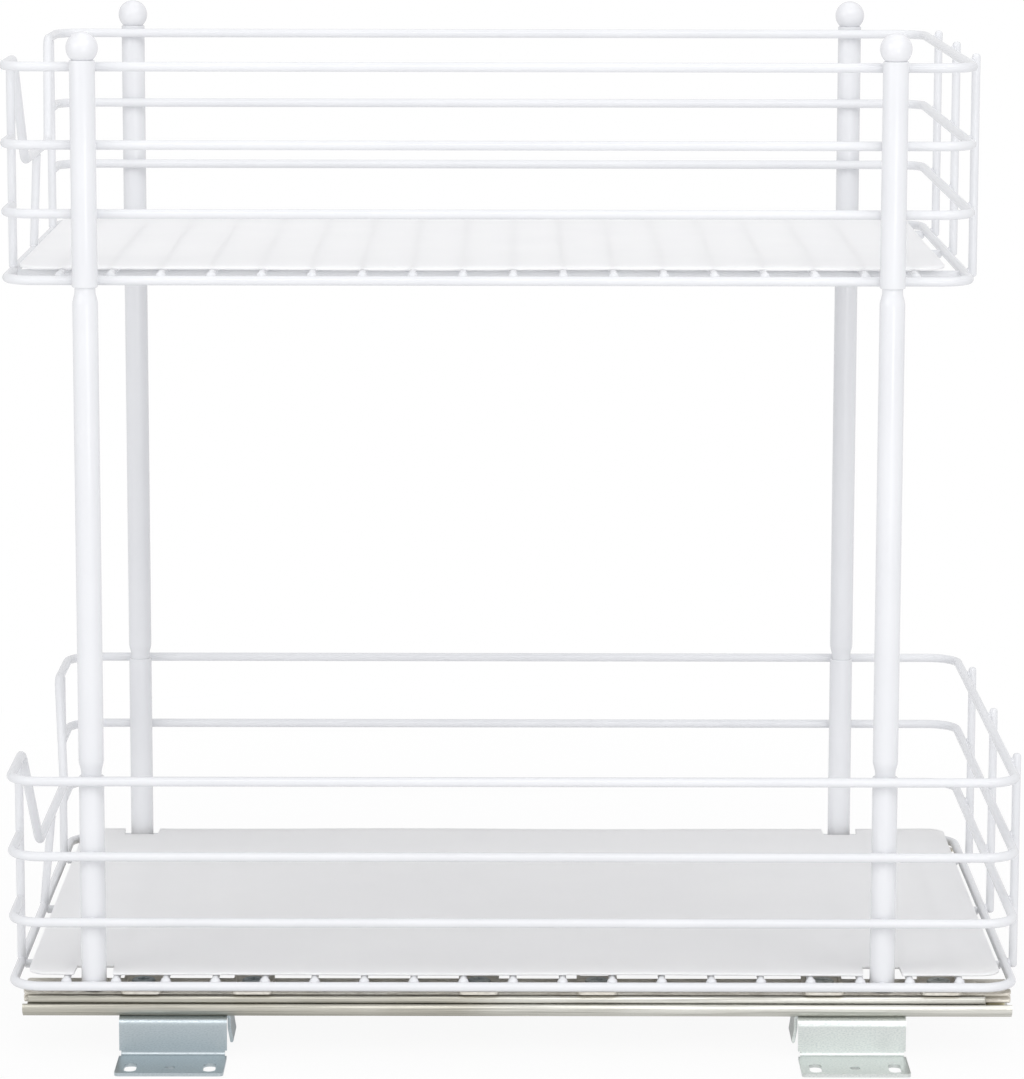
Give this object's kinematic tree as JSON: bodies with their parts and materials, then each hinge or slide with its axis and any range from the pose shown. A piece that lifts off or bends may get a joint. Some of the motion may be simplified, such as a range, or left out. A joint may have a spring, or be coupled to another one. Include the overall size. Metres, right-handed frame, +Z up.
{
  "type": "pull-out under sink organizer",
  "caption": "Two tier wire basket organizer for a cabinet, with tall corner posts and floor liners, that pulls out on ball-bearing slides.",
  "frame": {"origin": "on the mounting surface under the brackets, under the middle of the bounding box", "axes": "+X from the front to the rear, so the baskets pull out toward -X; +Y across, away from the near side; +Z up"},
  "size_m": [0.4546, 0.351, 0.4556],
  "materials": {
    "white_coat": "smooth white powder coat",
    "cap_plastic": "white moulded plastic",
    "liner_plastic": "white semi-matte sheet",
    "zinc": "rolled steel with zinc plating",
    "zinc_blue": "bluish zinc plating",
    "ball_steel": "polished steel",
    "bumper_plastic": "cream moulded plastic"
  },
  "bodies": {
    "base": {"near_front_bracket": "zinc_blue", "near_rear_bracket": "zinc_blue", "far_front_bracket": "zinc_blue", "far_rear_bracket": "zinc_blue", "near_outer_rail": "zinc", "near_bumper": "bumper_plastic", "far_outer_rail": "zinc", "far_bumper": "bumper_plastic", "bracket_rivets": "zinc"},
    "outer_cages": {"near_outer_cage": "zinc", "near_outer_balls": "ball_steel", "far_outer_cage": "zinc", "far_outer_balls": "ball_steel"},
    "middle_rails": {"near_middle_rail": "zinc", "far_middle_rail": "zinc"},
    "inner_cages": {"near_inner_cage": "zinc", "near_inner_balls": "ball_steel", "far_inner_cage": "zinc", "far_inner_balls": "ball_steel"},
    "basket": {"lower_rim": "white_coat", "lower_low_rail": "white_coat", "lower_mid_rail": "white_coat", "lower_top_rail": "white_coat", "lower_floor_wires": "white_coat", "lower_cross_wires": "white_coat", "lower_front_uprights": "white_coat", "lower_rear_uprights": "white_coat", "upper_rim": "white_coat", "upper_low_rail": "white_coat", "upper_mid_rail": "white_coat", "upper_top_rail": "white_coat", "upper_floor_wires": "white_coat", "upper_cross_wires": "white_coat", "upper_front_uprights": "white_coat", "upper_rear_uprights": "white_coat", "near_front_stub": "white_coat", "near_front_leg": "white_coat", "near_front_sleeve": "white_coat", "near_front_ball_cap": "cap_plastic", "near_rear_stub": "white_coat", "near_rear_leg": "white_coat", "near_rear_sleeve": "white_coat", "near_rear_ball_cap": "cap_plastic", "far_front_stub": "white_coat", "far_front_leg": "white_coat", "far_front_sleeve": "white_coat", "far_front_ball_cap": "cap_plastic", "far_rear_stub": "white_coat", "far_rear_leg": "white_coat", "far_rear_sleeve": "white_coat", "far_rear_ball_cap": "cap_plastic", "near_inner_rail": "zinc", "near_tabs": "zinc", "near_screws": "zinc_blue", "far_inner_rail": "zinc", "far_tabs": "zinc", "far_screws": "zinc_blue"},
    "lower_liner": {"lower_liner": "liner_plastic"},
    "upper_liner": {"upper_liner": "liner_plastic"}
  },
  "joints": [
    {"name": "basket_slide", "type": "slide", "parent": "base", "child": "basket", "axis": [-1, 0, 0], "range_m": [0, 0.4]},
    {"name": "middle_rail_slide", "type": "slide", "parent": "base", "child": "middle_rails", "axis": [-1, 0, 0], "range_m": [0, 0.2]},
    {"name": "outer_cage_slide", "type": "slide", "parent": "base", "child": "outer_cages", "axis": [-1, 0, 0], "range_m": [0, 0.1]},
    {"name": "inner_cage_slide", "type": "slide", "parent": "base", "child": "inner_cages", "axis": [-1, 0, 0], "range_m": [0, 0.3]},
    {"name": "lower_liner_lift", "type": "slide", "parent": "basket", "child": "lower_liner", "axis": [0, 0, 1], "range_m": [0, 0.12]},
    {"name": "upper_liner_lift", "type": "slide", "parent": "basket", "child": "upper_liner", "axis": [0, 0, 1], "range_m": [0, 0.12]}
  ],
  "couplings": [
    {"joint": "middle_rail_slide", "follows": "basket_slide", "ratio": 0.5},
    {"joint": "outer_cage_slide", "follows": "basket_slide", "ratio": 0.25},
    {"joint": "inner_cage_slide", "follows": "basket_slide", "ratio": 0.75}
  ]
}
